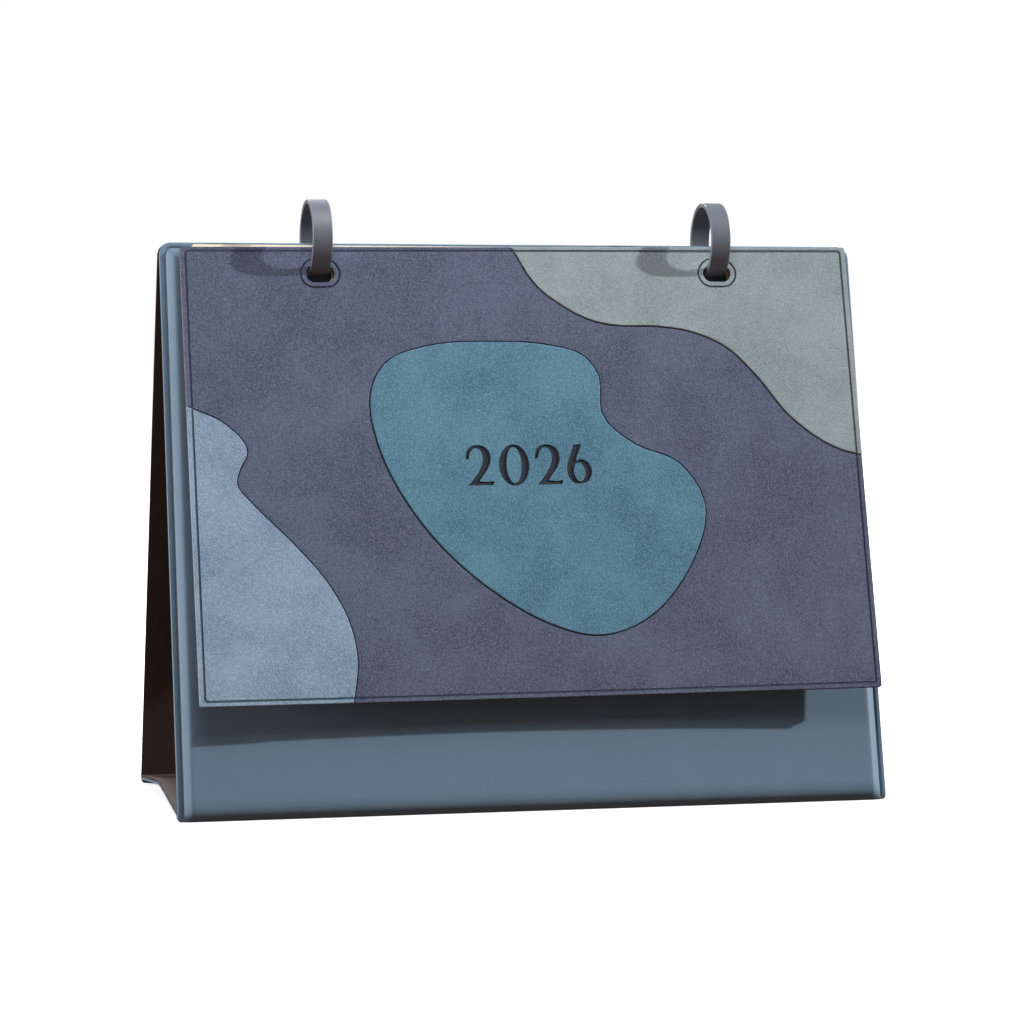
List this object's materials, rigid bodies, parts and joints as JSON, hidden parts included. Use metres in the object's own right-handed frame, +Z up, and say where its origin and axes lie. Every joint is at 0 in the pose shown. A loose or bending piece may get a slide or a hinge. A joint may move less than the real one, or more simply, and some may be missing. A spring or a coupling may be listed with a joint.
{
  "type": "desk calendar",
  "caption": "Easel desk calendar: folded padded case standing as a tent, snap rings over its top, a page block and an inlaid suede-look cover leaf that flips over the rings.",
  "frame": {"origin": "on the table, midway between the two feet and midway along the case", "axes": "+Z up, the cover faces -Y, +X to the viewer's right"},
  "size_m": [0.255, 0.1008, 0.2138],
  "materials": {
    "case_leatherette": "smooth fine-grained leatherette, satin",
    "lining_leatherette": "dark brown leatherette lining, matt",
    "greyboard": "bare grey bookbinding board",
    "ring_plastic": "moulded, satin-matt",
    "slate_leatherette": "suede-look leatherette, mottled, matt",
    "backing_leatherette": "plain leatherette backing, matt",
    "teal_leatherette": "suede-look leatherette, mottled, matt",
    "pale_leatherette": "suede-look leatherette, mottled, matt",
    "blue_leatherette": "suede-look leatherette, mottled, matt",
    "page_paper": "uncoated cream paper"
  },
  "bodies": {
    "easel": {"case_skin": "case_leatherette", "case_lining": "lining_leatherette", "front_panel_board": "greyboard", "front_base_board": "greyboard", "rear_panel_board": "greyboard", "rear_base_board": "greyboard", "left_ring": "ring_plastic", "right_ring": "ring_plastic", "page_block": "page_paper"},
    "cover": {"cover_face": "slate_leatherette", "cover_backing": "backing_leatherette", "centre_inlay": "teal_leatherette", "upper_inlay": "pale_leatherette", "lower_inlay": "blue_leatherette"}
  },
  "joints": [
    {"name": "cover_turn", "type": "hinge", "parent": "easel", "child": "cover", "pos_m": [0, -0.0034, 0.1998], "axis": [-1, 0, 0], "range_deg": [0, 210]}
  ]
}
